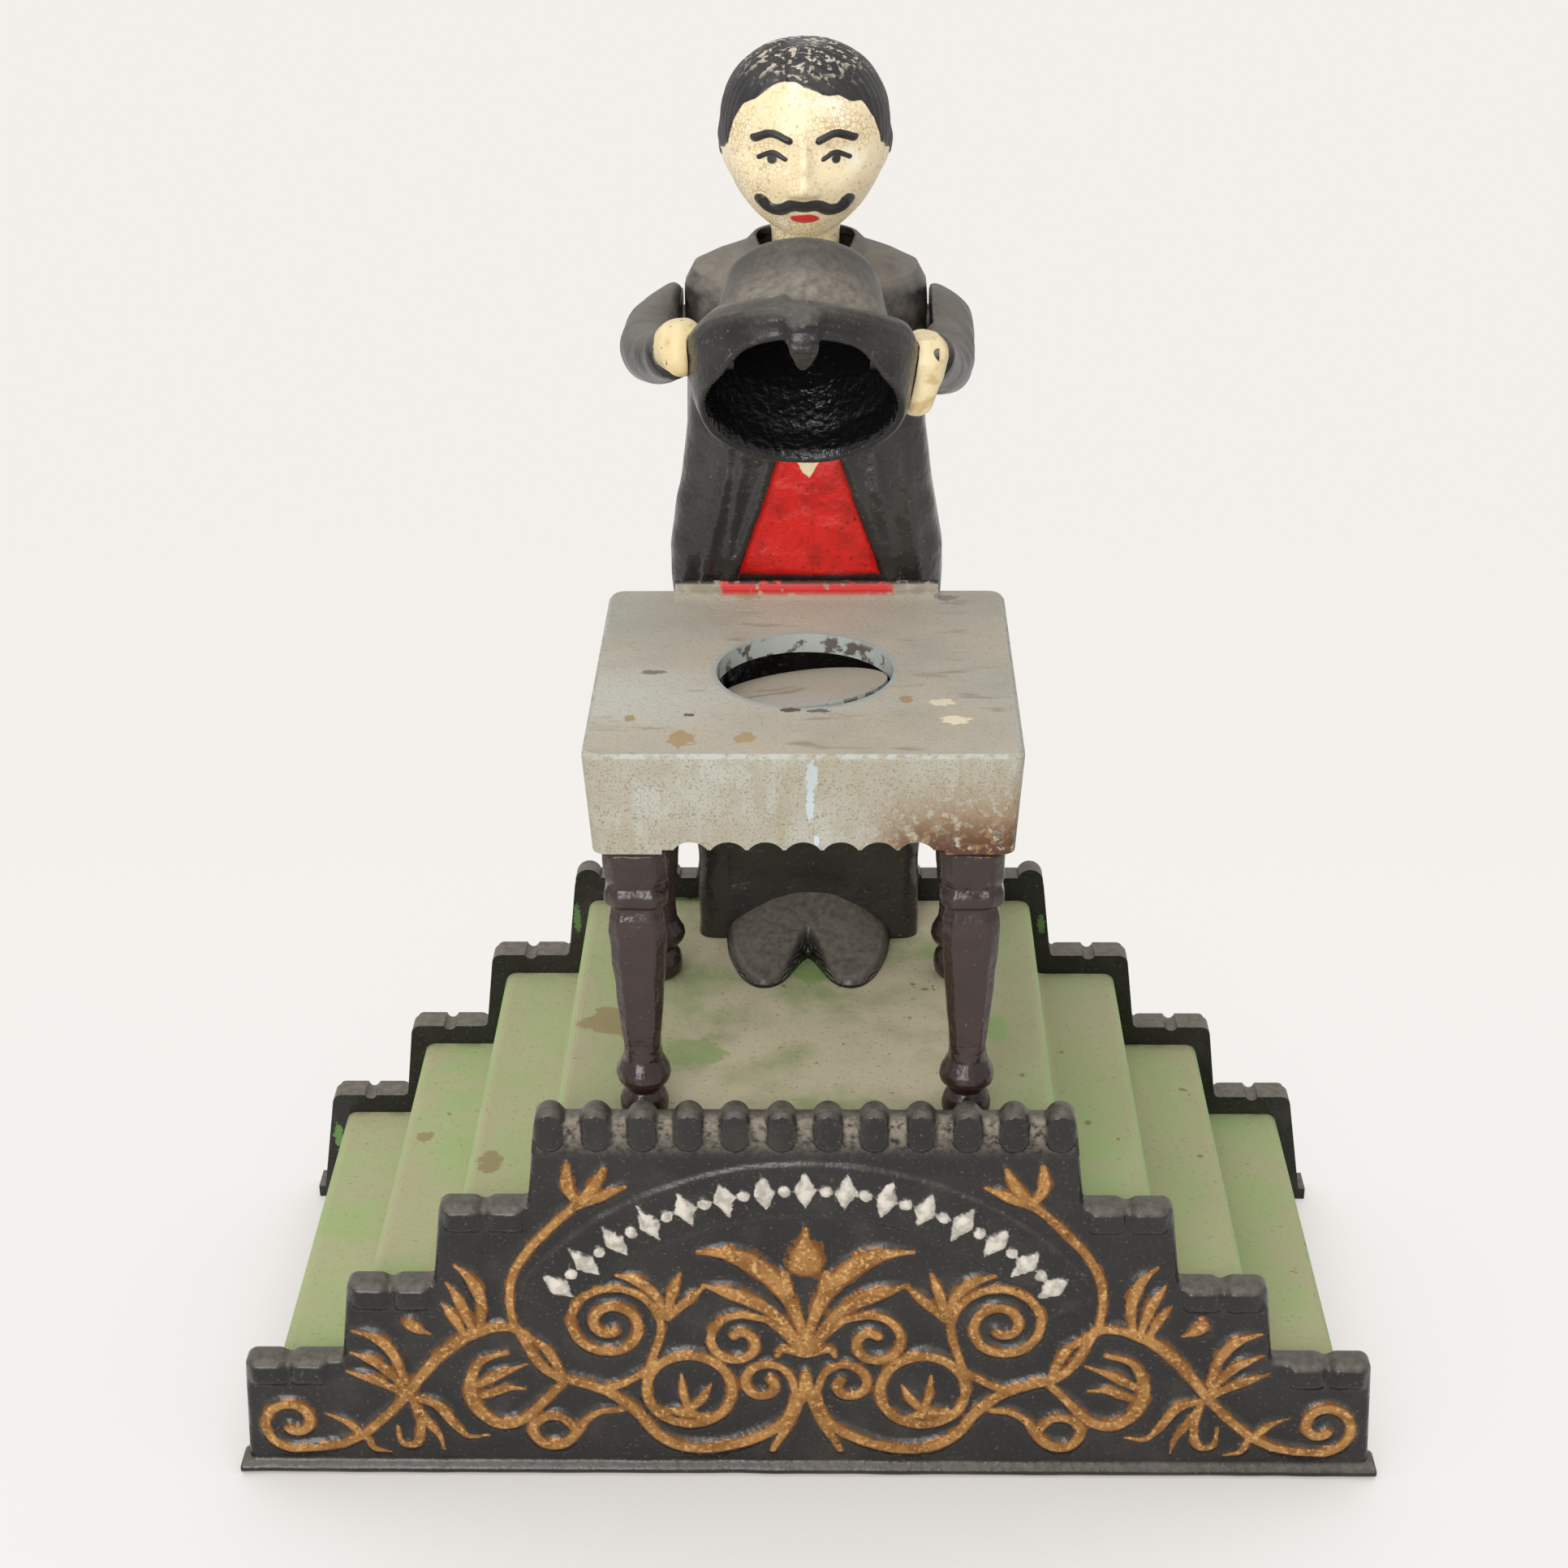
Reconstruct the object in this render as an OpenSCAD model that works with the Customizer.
// Cast iron mechanical bank: a conjuror behind a table lowers a top hat over a coin.
// Origin at the middle of the underside. X to the right, Y to the back, Z up, in millimetres.

/* [Base] */
// Width over the plinths of the two end panels
base_w = 178; // [170:1:190]
// Depth over the noses of the two end panels
base_d = 80; // [74:1:90]
// Height of the lowest step of the deck
first_rise = 18.2; // [16:0.1:20]
// Height from one step to the next
rise = 14.45; // [13:0.05:16]
// Depth of each tread, measured across the bank
run = 15; // [13:0.5:16]
// Half width of the top of the deck
top_half = 37.5; // [35:0.5:40]
// Lean of each riser over its height
draft = 1.7; // [0.5:0.1:2.5]
// Thickness of the deck casting
deck_t = 2.6; // [2:0.1:3.2]
// Thickness of the panel castings
panel_t = 3.8; // [3:0.1:4.5]
// Height of the panels over the lower treads
rail_h = 3.6; // [2:0.1:5]
// Height of the panels over the top of the deck
rail_top_h = 4.4; // [4:0.1:7]
// How far the panels stand out beyond the ends of the treads
rail_out = 2.3; // [1:0.1:3]
// Height of the plinth along the foot of each panel
plinth_h = 2.2; // [1.5:0.1:3]
// Number of half round ribs along the top of each panel
top_ribs = 12; // [8:1:14]
// Radius of the ribs
rib_r = 2.2; // [1.5:0.05:2.5]
// Height of the band under the edge of each lower tread
band_h = 5; // [4:0.1:7]
// Radius of the groove across the middle of each band
groove_r = 1.2; // [0.8:0.1:1.5]
// How far the ribs stand over the top edge of the panels
rib_up = 1.6; // [0.6:0.1:2]
// Thickness of the bottom plate
plate_t = 2.2; // [1.8:0.1:3]

/* [Table] */
// Height of the table top above the ground
table_z = 124.5; // [120:0.5:128]
// Width of the table top
table_w = 61.5; // [56:0.5:64]
// Depth of the table top
table_d = 58; // [54:0.5:60]
// Clear space between the table and the figure's legs
table_space = 0.2; // [0.1:0.1:0.6]
// Thickness of the table top
table_t = 3; // [2.5:0.1:4]
// Height of the table with its apron
apron_h = 16; // [14:0.5:18]
// Thickness of the apron
apron_t = 2.3; // [2:0.1:3]
// How far the apron leans in over its height
apron_draft = 0.9; // [0:0.1:1.5]
// Number of scallops cut in the front apron
scallops = 7; // [5:1:9]
// Distance between scallops
scallop_pitch = 5.3; // [4:0.1:5.5]
// Diameter of the coin hole
hole_d = 26; // [25:0.1:27]
// Distance of the coin hole's centre from the rear edge of the table
hole_in = 29.6; // [28.5:0.1:30.5]
// Distance of the legs from the middle, across
leg_x = 24; // [22:0.5:24.5]
// Distance of the front legs from the front panel
leg_front_in = 4.7; // [4.2:0.1:6]
// Distance of the rear legs from the rear edge of the table
leg_rear_in = 10.8; // [9:0.1:13]
// Thickness of the coin trap disc
trap_t = 1.5; // [1.2:0.1:1.8]
// Running gap round the trap disc
trap_gap = 0.35; // [0.2:0.05:0.5]
// How far the trap disc is tipped at rest
trap_rest = 14.5; // [5:0.5:15]
// Direction of the trap hinge, from across towards the back
trap_turn = 29; // [20:1:35]
// Diameter of the coin that the bank takes
coin_d = 24.3; // [19:0.1:24.5]

/* [Figure] */
// Half width of the legs and coat tails
leg_half = 18.3; // [17.5:0.1:19]
// Depth of the figure's legs, front to back
leg_d = 12.8; // [12.6:0.1:13]
// Distance from the front of the legs to the plane where the body castings meet
front_d = 8.5; // [8.4:0.1:8.8]
// Height of the neck pin above the arm shaft
shaft_drop = 7; // [6.5:0.1:7.5]
// Diameter of the arm shaft
shaft_d = 4; // [3.6:0.1:4.4]
// How far the arms swing down
arm_swing = 52; // [45:1:52]
// Height of the neck pin
neck_z = 173; // [168:0.5:176]
// Diameter of the neck
neck_d = 11.3; // [10:0.1:12]
// Thickness of the castings of the body
body_t = 2; // [1.6:0.1:2.2]
// Width of the head
head_w = 24.3; // [22:0.1:26]
// Height of the head from chin to crown
head_h = 28.4; // [26:0.2:29]

/* [Hat] */
// Outer radius of the rim that comes down on the table
rim_r = 13.5; // [13.5:0.1:14.5]
// Radius of the brim
brim_r = 16.1; // [15.5:0.1:17]
// Radius of the crown where it leaves the brim
crown_r = 11.8; // [11:0.1:12.5]
// Radius of the top of the crown
crown_top_r = 9.9; // [9:0.1:11]
// Height of the brim above the rim
brim_z = 7.5; // [6:0.1:9]
// Height of the hat
hat_h = 21; // [19:0.5:23]
// Thickness of the hat
hat_t = 1.3; // [1:0.1:1.6]

/* [Mechanism] */
// Length of the crank on the arm shaft
crank_r = 4.2; // [3.8:0.1:4.4]
// Diameter of the pull rod
rod_d = 1.6; // [1.4:0.1:1.8]
// Place of the pull rod, across
rod_x = -13.9; // [-14:0.1:-13.8]
// Width of the thumb lever
lever_w = 4; // [3:0.5:5]
// Height of the thumb lever's middle
lever_z = 30; // [26:0.5:34]
// Distance of the lever's pivot from the front panel
pivot_in = 9; // [8.6:0.1:14]
// How far the thumb piece stands out behind the bank
lever_out = 14; // [10:0.5:18]
// Radius of the opening in the bottom plate that the coins leave by
coin_exit_r = 14; // [13:0.5:16]
// Place of that opening, across
coin_exit_x = 40; // [36:1:46]
// Turns of the return spring
spring_turns = 6; // [4:1:8]
// Diameter of the return spring
spring_d = 8; // [6:0.5:10]

/* [Fits] */
// Radial clearance of a running fit
fit = 0.06; // [0.03:0.01:0.1]
// Gap between castings that move past each other
gap = 0.3; // [0.2:0.05:0.5]
// Diameter of the screws
screw_d = 2.8; // [2.4:0.1:3.2]

/* [Hidden] */
$fn = 48;
eps = 0.01;
steps = 4;

panel_face = base_d/2 - 1.2;
panel_in = panel_face - panel_t;
leg_back_y = panel_in - 0.2;
leg_front_y = leg_back_y - leg_d;
part_y = leg_front_y + front_d;
shaft_z = neck_z - shaft_drop;
function deck_half(i) = top_half + run*(steps - 1 - i);
function deck_z(i) = first_rise + rise*i;
function panel_half(i) = deck_half(i) + rail_out;
function panel_z(i) = deck_z(i) + (i == steps - 1 ? rail_top_h : rail_h);
deck_top = deck_z(steps - 1);
foot_half = deck_half(0) + draft*first_rise/rise;

table_under = table_z - table_t;
apron_z = table_z - apron_h;
table_rear = leg_front_y - table_space;
table_front = table_rear - table_d;
hole_y = table_rear - hole_in;
leg_front = leg_front_in - panel_in;
leg_rear = table_rear - leg_rear_in;
table_in = table_w/2 - apron_t;

trap_r = hole_d/2 - trap_gap;
hinge_off = trap_r - 0.3;
hinge_drop = 1.8;
hinge_z = table_under - hinge_drop;
hinge_r = 0.8;
trap_down = [-sin(trap_turn), cos(trap_turn)];
trap_along = [cos(trap_turn), sin(trap_turn)];
hinge_at = [0, hole_y] - trap_down*hinge_off;

arm_hub_in = leg_half + 0.4;
arm_hub_out = arm_hub_in + 3.6;
crank_rest = arm_swing/2;
rod_travel = 2*crank_r*sin(crank_rest);
rod_y = part_y - crank_r*(1 + cos(crank_rest))/2;
crank_pin_y = part_y - crank_r*cos(crank_rest);
crank_pin_z = shaft_z + crank_r*sin(crank_rest);
rod_r = rod_d/2;
eye_r = 1.75;
crank_pin_r = 0.75;
crank_pin_head_r = 1.15;
crank_t = 1.2;
crank_x = rod_x + rod_r + gap;

chute_half = coin_d/2 + 0.15;
sheet_t = 0.5;
trough_out = chute_half + sheet_t;
trough_front = hole_y - 4.2;
trough_rear = leg_front_y + body_t;
trough_slope = 18.5;
trough_rear_z = 95.5;
trough_wall = 7;
function trough_z(y) = trough_rear_z + (trough_rear - y)*tan(trough_slope);
tab_y = hole_y + 5.8;
tab_x = 19;
tab_t = 1.2;
tab_z = trough_z(tab_y) + trough_wall - tab_t;
finger_z = tab_z + tab_t + rod_travel + rod_r + 0.7;
finger_at = [0, hole_y] - trap_down*3.9 - trap_along*9.5;
finger_tip_z = hinge_z + (hinge_drop + table_t - trap_t)*cos(trap_rest)
    - (hinge_off - 3.9 - (hinge_drop + table_t - trap_t)*sin(trap_rest))*tan(trap_rest) - 0.4;

slot_y = leg_front_y + body_t + 1;
slot_d = 6;
column_h = 24;
figure_screw_x = leg_half - 2.3;
figure_screw_y = leg_front_y + 2.2;
figure_head_r = 2.1;
body_screw_x = 10;
body_screw_z = shaft_z - 18;
body_screw_len = 13;
tail_screw_x = leg_half - 2.5;
tail_screw_z = deck_top + 18;
tail_screw_len = 6.5;

head_mid = [0, part_y - 1.5, neck_z + 6.5 + head_h/2];
hat_centre = [0, hole_y, table_z + gap];
hold_z = 5;
grip_y = -1.5;
grip_z = 7.5;
grip_r = 1;
grip_head_r = 1.8;

spring_y = rod_y - 22.5;
spring_wire = 1;
lever_h = 5;
pivot_r = 1.5;
lever_pivot_y = pivot_in - panel_in;
lever_end = base_d/2 + lever_out;
lever_swing = asin(rod_travel/(rod_y - lever_pivot_y));

tie_low = [64, 10];
tie_high = [30, deck_top - 9];
tie_r = 1.7;
plate_half = foot_half - deck_t - 2*gap;
plate_y = panel_in - gap;
post_x = deck_half(0) - deck_t - 5;
post_y = panel_in - 8;

iron_black = [0.17, 0.165, 0.16];
deck_green = [0.56, 0.61, 0.42];
table_grey = [0.66, 0.68, 0.64];
leg_brown = [0.24, 0.2, 0.19];
skin = [0.86, 0.79, 0.63];
steel = [0.55, 0.55, 0.56];

// A corner p between its neighbours a and b, replaced by an arc of radius r
function fillet(a, p, b, r, n = 4) =
    let (
        u = (a - p)/norm(a - p),
        v = (b - p)/norm(b - p),
        half = acos(u*v)/2,
        c = p + (u + v)/norm(u + v)*r/sin(half),
        s = p + u*r/tan(half),
        e = p + v*r/tan(half),
        a0 = atan2(s[1] - c[1], s[0] - c[0]),
        a1 = atan2(e[1] - c[1], e[0] - c[0]),
        turn = ((a1 - a0 + 540) % 360) - 180
    )
    [for (i = [0:n]) let (q = a0 + turn*i/n) c + r*[cos(q), sin(q)]];

// An outline whose points are [x, y, radius], with its corners rounded
function rounded(pts) =
    let (n = len(pts), flat = [for (p = pts) [p[0], p[1]]])
    [for (i = [0:n - 1])
        each (pts[i][2] > 0
            ? fillet(flat[(i + n - 1) % n], flat[i], flat[(i + 1) % n], pts[i][2])
            : [flat[i]])];

// The right half of an outline, from the top down, completed by its mirror image
function both_sides(right) =
    let (n = len(right))
    concat(right, [for (i = [n - 1:-1:0]) [-right[i][0], right[i][1], right[i][2]]]);

function rounded_box(x0, y0, x1, y1, r) =
    rounded([[x0, y0, r], [x1, y0, r], [x1, y1, r], [x0, y1, r]]);

// Rings of points joined into one closed solid, with flat ends
module loft(rings) {
    n = len(rings[0]);
    m = len(rings);
    points = [for (ring = rings) each ring];
    sides = [for (i = [0:m - 2], j = [0:n - 1], k = [0:1])
        let (a = i*n + j, b = i*n + (j + 1) % n)
        k == 0 ? [a, b, b + n] : [a, b + n, a + n]];
    first = [for (j = [n - 1:-1:0]) j];
    last = [for (j = [0:n - 1]) (m - 1)*n + j];
    polyhedron(points = points, faces = concat([first], sides, [last]));
}

function unit(v) = v/norm(v);

// Circles of the given radii about the points of a path, each square to the path
module tube(path, radii, sides = 12) {
    n = len(path);
    rings = [for (i = [0:n - 1])
        let (
            d = unit(path[min(i + 1, n - 1)] - path[max(i - 1, 0)]),
            u = unit(cross(d, abs(d[2]) < 0.8 ? [0, 0, 1] : [0, 1, 0])),
            v = cross(d, u)
        )
        [for (j = [0:sides - 1])
            let (a = -360*j/sides) path[i] + radii[i]*(cos(a)*u + sin(a)*v)]];
    loft(rings);
}

// A point on the smooth curve through four points, between the second and the third
function through(a, b, c, d, t) =
    0.5*(2*b + (c - a)*t + (2*a - 5*b + 4*c - d)*t*t + (3*b - a - 3*c + d)*t*t*t);

function smooth(p, k) =
    let (n = len(p))
    concat([for (i = [0:n - 2], j = [0:k - 1])
        through(p[max(i - 1, 0)], p[i], p[i + 1], p[min(i + 2, n - 1)], j/k)], [p[n - 1]]);

module along_x(x, y, z, len, r) {
    translate([x, y, z]) rotate([0, 90, 0]) cylinder(h = len, r = r);
}

module along_y(x, y, z, len, r) {
    translate([x, y, z]) rotate([-90, 0, 0]) cylinder(h = len, r = r);
}

// An outline in the plane of the panels, extruded from y0 to y1
module standing(pts, y0, y1) {
    translate([0, y1, 0]) rotate([90, 0, 0]) linear_extrude(y1 - y0) polygon(pts);
}

// A countersunk screw with its flat head at the origin, pointing up
module screw(len, r = screw_d/2) {
    cylinder(h = r, r1 = 2*r, r2 = r);
    cylinder(h = len, r = r);
}

module wire(a, b, r) {
    d = b - a;
    translate(a) rotate([0, acos(d[2]/norm(d)), atan2(d[1], d[0])]) cylinder(h = norm(d), r = r);
}

// Base castings

band_half = (run - draft)/2 - 0.4;
function band_mid(i) = panel_half(i) - run/2 + draft/2;

function panel_outline() = rounded(both_sides(concat(
    [for (i = [steps - 1:-1:1]) each [
        [panel_half(i), panel_z(i), 1.6],
        [panel_half(i) + draft, panel_z(i - 1), 1]
    ]],
    [[panel_half(0), panel_z(0), 1.6], [base_w/2 - 1.2, plinth_h, 0], [base_w/2 - 1.2, 0, 0]])));

// A half round rib over the top edge of a panel and down its face
module rib(x, z, r, drop) {
    y = -base_d/2 + r;
    intersection() {
        union() {
            along_y(x, y, z - r, r + panel_t, r);
            translate([x, y, z - r]) sphere(r);
            translate([x, y, z - r - drop]) cylinder(h = drop, r = r);
            translate([x, y, z - r - drop]) sphere(r);
        }
        translate([x - 2*r, -base_d/2, z - 4*r - drop])
            cube([4*r, base_d/2 - panel_in, 5*r + drop]);
    }
}

// The bands under the edges of the lower treads, whose middles carry one groove each
module bands() {
    for (i = [0:steps - 2], s = [-1, 1]) {
        x = s*band_mid(i);
        standing(rounded_box(x - band_half, panel_z(i) - band_h, x + band_half, panel_z(i) - 0.2, 1.1),
            -base_d/2, -panel_face + eps);
    }
}

module grooves() {
    for (i = [0:steps - 2], s = [-1, 1]) {
        along_y(s*band_mid(i), -base_d/2 - 1, panel_z(i) + 0.5, panel_t + 4, groove_r);
        translate([s*band_mid(i), -base_d/2 - 0.5, panel_z(i) - band_h - 1]) cylinder(h = band_h + 2, r = groove_r);
    }
}

module panel() {
    difference() {
        union() {
            standing(panel_outline(), -panel_face, -panel_in);
            bands();
        }
        grooves();
    }
    translate([-base_w/2, -base_d/2, 0]) cube([base_w, base_d/2 - panel_in, plinth_h]);
    pitch = 2*(panel_half(steps - 1) - rib_r)/(top_ribs - 1);
    for (i = [0:top_ribs - 1])
        rib(-panel_half(steps - 1) + rib_r + pitch*i, panel_z(steps - 1) + rib_up, rib_r, 2.4);
}

// Scroll ornament. Half of it is drawn, in millimetres across and up from the foot of the middle of the panel
scroll_w = 1.9;
scroll_up = 0.7;

function volute(c, r0, r1, a0, turn, n) =
    [for (i = [0:n]) let (t = i/n) c + (r0 + (r1 - r0)*t)*[cos(a0 + turn*t), sin(a0 + turn*t)]];

// Lines of the ornament, each with its width where it starts, in its middle and where it ends
scrolls = [
    [concat(volute([-80, 10], 1.6, 5.2, -120, 370, 22), smooth([[-76.2, 5.2], [-69, 7.7], [-62, 15.2]], 2)), [1, 1, 1]],
    [smooth([[-62, 15.2], [-56.3, 23.1], [-48.5, 28.3], [-42.8, 27.2]], 3), [1, 1.2, 0.8]],
    [smooth([[-69.5, 27.6], [-64, 24.2], [-62, 17]], 3), [0.3, 1.1, 0.7]],
    [smooth([[-71, 20.5], [-66, 18.4], [-61.8, 14.8]], 3), [0.3, 1.1, 0.7]],
    [smooth([[-61.5, 15], [-55.5, 11.5], [-49.6, 7.4]], 3), [0.7, 1.1, 0.3]],
    [smooth([[-61, 14], [-58.9, 9], [-56.8, 4.4]], 3), [0.7, 1, 0.3]],
    [smooth([[-53, 40], [-49.4, 34.5], [-49.7, 28.6]], 3), [0.3, 1.2, 0.7]],
    [smooth([[-55.4, 34.5], [-53, 31.5], [-51.4, 27]], 3), [0.3, 1.1, 0.7]],
    [smooth([[-44.5, 28], [-44.3, 38.3], [-39.2, 46], [-33.6, 52]], 3), [1, 0.9, 1]],
    [smooth([[-33.8, 51.4], [-35.4, 54.8], [-35.2, 58.2]], 2), [0.8, 1.2, 0.5]],
    [smooth([[-34, 51.4], [-30.6, 53.4], [-26.8, 54.4]], 2), [0.8, 1.2, 0.4]],
    [smooth([[-44, 28.4], [-38.6, 19.4], [-30.6, 16.4], [-23.4, 8.4], [-15.4, 5.3], [-6.6, 8.1],
        [-0.9, 15], [0, 19.6]], 2),
        [0.9, 1.2, 1]],
    [smooth([[-37.6, 17.8], [-43.8, 11], [-50.2, 11.9], [-51.6, 19.2], [-46, 23.5]], 3), [0.7, 1.4, 0.5]],
    [volute([-39.3, 8.6], 2.7, 2.9, 40, 330, 14), [1, 1, 1]],
    [concat(volute([-29.8, 29.2], 1.6, 7.9, -61, -660, 44), [[-24.6, 21.2], [-32, 16.6]]), [1, 1, 0.8]],
    [smooth([[-28.6, 38.3], [-23.6, 36.2], [-21.4, 31]], 2), [0.4, 1.1, 0.7]],
    [smooth([[-19, 38.6], [-20.3, 34.9], [-21.2, 30.6]], 2), [0.4, 1.1, 0.7]],
    [volute([-18, 16.8], 6.6, 6.6, 10, 355, 24), [1, 1, 1]],
    [concat(volute([-10.3, 26], 1.6, 5.2, 120, -400, 26), [[-4.6, 29], [-0.4, 23.8]]), [1, 1, 0.8]],
    [concat(volute([-6.4, 18], 1.5, 4.2, 33, -370, 22), [[-2.2, 15], [-3.4, 10.7]]), [1, 1, 0.8]],
    [smooth([[-16.2, 42.7], [-6.8, 39.7], [-1.6, 31], [0, 23.6]], 3), [0.3, 2, 0.5]],
    [smooth([[-15.6, 36.5], [-7.5, 33.4], [-1, 26]], 3), [0.3, 1.6, 0.5]],
    [smooth([[0, 16.6], [-2.5, 10.7], [-5.3, 4.9]], 2), [0.8, 1, 0.7]]
];
drop_shape = [[0, 47], [-1.6, 43.5], [-2.6, 40.5], [-1.4, 38.4], [0, 36.8], [1.4, 38.4], [2.6, 40.5], [1.6, 43.5]];

// The arch above the scrolls and the row of lozenges on it
arch_z = 5.3;
arch_r = 48.6;
arch_w = 9.2;
arch_end = 56;
arch_up = 0.45;
lozenges = 15;

function beside(line, k, w) =
    let (n = len(line) - 1, d = unit(line[min(k + 1, n)] - line[max(k - 1, 0)]))
    line[k] + w/2*[-d[1], d[0]];

function width_at(w, t) = scroll_w*(t < 0.5 ? w[0] + (w[1] - w[0])*sin(180*t) : w[2] + (w[1] - w[2])*sin(180*t));

module scroll(line, w) {
    n = len(line) - 1;
    standing(concat([for (k = [0:n]) beside(line, k, width_at(w, k/n))],
        [for (k = [n:-1:0]) beside(line, k, -width_at(w, k/n))]), -panel_face - scroll_up, -panel_face + 0.2);
}

module scroll_ornament() {
    for (p = scrolls) {
        scroll(p[0], p[1]);
        mirror([1, 0, 0]) scroll(p[0], p[1]);
    }
    standing(drop_shape, -panel_face - scroll_up, -panel_face + 0.2);
}

module arch_ornament() {
    translate([0, -panel_face, arch_z]) rotate([90, 0, 0]) {
        translate([0, 0, -0.2]) linear_extrude(arch_up + 0.2) polygon(concat(
            [for (a = [-arch_end:4:arch_end]) (arch_r + arch_w/2)*[sin(a), cos(a)]],
            [for (a = [arch_end:-4:-arch_end]) (arch_r - arch_w/2)*[sin(a), cos(a)]]));
        for (i = [0:lozenges - 1]) rotate([0, 0, (i - (lozenges - 1)/2)*(arch_end - 4)*2/(lozenges - 1)])
            translate([0, arch_r, 0]) linear_extrude(arch_up + 0.7)
                polygon([[0, 3.1], [-1.6, 0], [0, -3.1], [1.6, 0]]);
    }
}

module tie_places() {
    for (s = [-1, 1], p = [tie_low, tie_high])
        translate([s*p[0], 0, p[1]]) children();
}

module front_panel() {
    color(iron_black) difference() {
        union() {
            panel();
            scroll_ornament();
            arch_ornament();
            tie_places() along_y(0, -panel_in - eps, 0, 6, 4);
        }
        tie_places() along_y(0, -panel_in - 1.5, 0, 8, tie_r + fit);
    }
}

lever_slot_w = lever_w + 1.6;
lever_drop = (lever_end - lever_pivot_y)*sin(lever_swing);

module rear_panel() {
    color(iron_black) difference() {
        mirror([0, 1, 0]) panel();
        tie_places() along_y(0, panel_in - 1, 0, panel_t + 2, tie_r + fit);
        tie_places() translate([0, panel_face - tie_r, 0]) rotate([-90, 0, 0])
            cylinder(h = tie_r + eps, r1 = tie_r + 3*fit, r2 = 2*tie_r + 3*fit);
        translate([rod_x - lever_slot_w/2, panel_in - 1, lever_z - lever_h/2 - lever_drop - 1])
            cube([lever_slot_w, panel_t + 3, lever_h + lever_drop + 1.8]);
    }
}

function deck_outline(inset, z0) = rounded(both_sides(concat(
    [for (i = [steps - 1:-1:1]) each [
        [deck_half(i) - inset, deck_z(i) - inset, 1.8],
        [deck_half(i) + draft - inset, deck_z(i - 1) - inset, 1.2]
    ]],
    [[deck_half(0) - inset, deck_z(0) - inset, 1.8], [foot_half - inset, z0, 0]])));

module leg_places() {
    for (s = [-1, 1], y = [leg_front, leg_rear])
        translate([s*leg_x, y, 0]) children();
}

leg_peg_r = 1.7;

module deck() {
    color(deck_green) difference() {
        union() {
            difference() {
                standing(deck_outline(0, 0), -panel_in, panel_in);
                standing(deck_outline(deck_t, -1), -panel_in - 1, panel_in + 1);
            }
            for (s = [-1, 1], y = [-post_y, post_y])
                translate([s*post_x, y, plate_t]) cylinder(h = deck_z(0) - plate_t - 1, r = 3.5);
        }
        for (s = [-1, 1], y = [-post_y, post_y])
            translate([s*post_x, y, 0]) cylinder(h = plate_t + 9, r = screw_d/2 + fit);
        leg_places() translate([0, 0, deck_top - deck_t - 1]) cylinder(h = deck_t + 2, r = leg_peg_r + fit);
        translate([-chute_half - 0.5, slot_y, deck_top - deck_t - 1])
            cube([2*chute_half + 1, slot_d, deck_t + 2]);
        translate([rod_x, rod_y, deck_top - deck_t - 1]) cylinder(h = deck_t + 2, r = rod_r + 0.4);
        for (s = [-1, 1])
            translate([s*figure_screw_x, figure_screw_y, deck_top - deck_t - 1])
                cylinder(h = deck_t + 2, r = screw_d/2 + fit);
    }
}

module tie_screws() {
    len = panel_face + panel_in + 1;
    color(steel)
        tie_places() translate([0, panel_face - 0.1, 0]) rotate([90, 0, 0]) screw(len, tie_r);
}

module plate_screw_places() {
    for (s = [-1, 1], y = [-post_y, post_y])
        translate([s*post_x, y, 0]) children();
}

bracket_y = lever_pivot_y;
bracket_screw_dy = 5.5;
trap_bar_w = 7;
trap_bar_len = 2*coin_exit_r + 10;

module bottom_plate() {
    color(iron_black) difference() {
        union() {
            translate([-plate_half, -plate_y, 0]) cube([2*plate_half, 2*plate_y, plate_t]);
            translate([rod_x, spring_y, plate_t - eps]) cylinder(h = 3, r = spring_d/2 - spring_wire - 0.4);
        }
        plate_screw_places() {
            translate([0, 0, -1]) cylinder(h = plate_t + 2, r = screw_d/2 + fit);
            translate([0, 0, -eps]) cylinder(h = screw_d/2, r1 = screw_d + fit, r2 = screw_d/2 + fit);
        }
        for (k = [-1, 1]) translate([rod_x, bracket_y + k*bracket_screw_dy, 0]) {
            translate([0, 0, -1]) cylinder(h = plate_t + 2, r = screw_d/2 + fit);
            translate([0, 0, -eps]) cylinder(h = screw_d/2, r1 = screw_d + fit, r2 = screw_d/2 + fit);
        }
        translate([coin_exit_x, 0, -1]) cylinder(h = plate_t + 2, r = coin_exit_r);
        translate([coin_exit_x - trap_bar_len/2 - gap, -trap_bar_w/2 - gap, -1])
            cube([trap_bar_len + 2*gap, trap_bar_w + 2*gap, plate_t + 2]);
    }
}

module plate_screws() {
    color(steel) plate_screw_places() translate([0, 0, 0.05]) screw(plate_t + 7);
}

module coin_trap_cover() {
    color(iron_black) translate([coin_exit_x, 0, 0]) difference() {
        union() {
            translate([0, 0, 0.4]) cylinder(h = plate_t - 0.4 + 0.1, r = coin_exit_r - gap);
            translate([-0.9, -9, 0.4]) cube([1.8, 18, plate_t - 0.4]);
        }
        translate([0, 0, -1]) cylinder(h = plate_t + 3, r = 1.5 + fit);
        for (s = [-1, 1]) translate([-5, s*7 - 1, 0]) cube([10, 2, 1.3]);
    }
}

module coin_trap_bar() {
    color(steel) translate([coin_exit_x, 0, plate_t + 0.1]) difference() {
        translate([-trap_bar_w/2, -trap_bar_len/2, 0]) cube([trap_bar_w, trap_bar_len, 1.5]);
        translate([0, 0, -1]) cylinder(h = 4, r = 1.5 + fit);
    }
}

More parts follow.
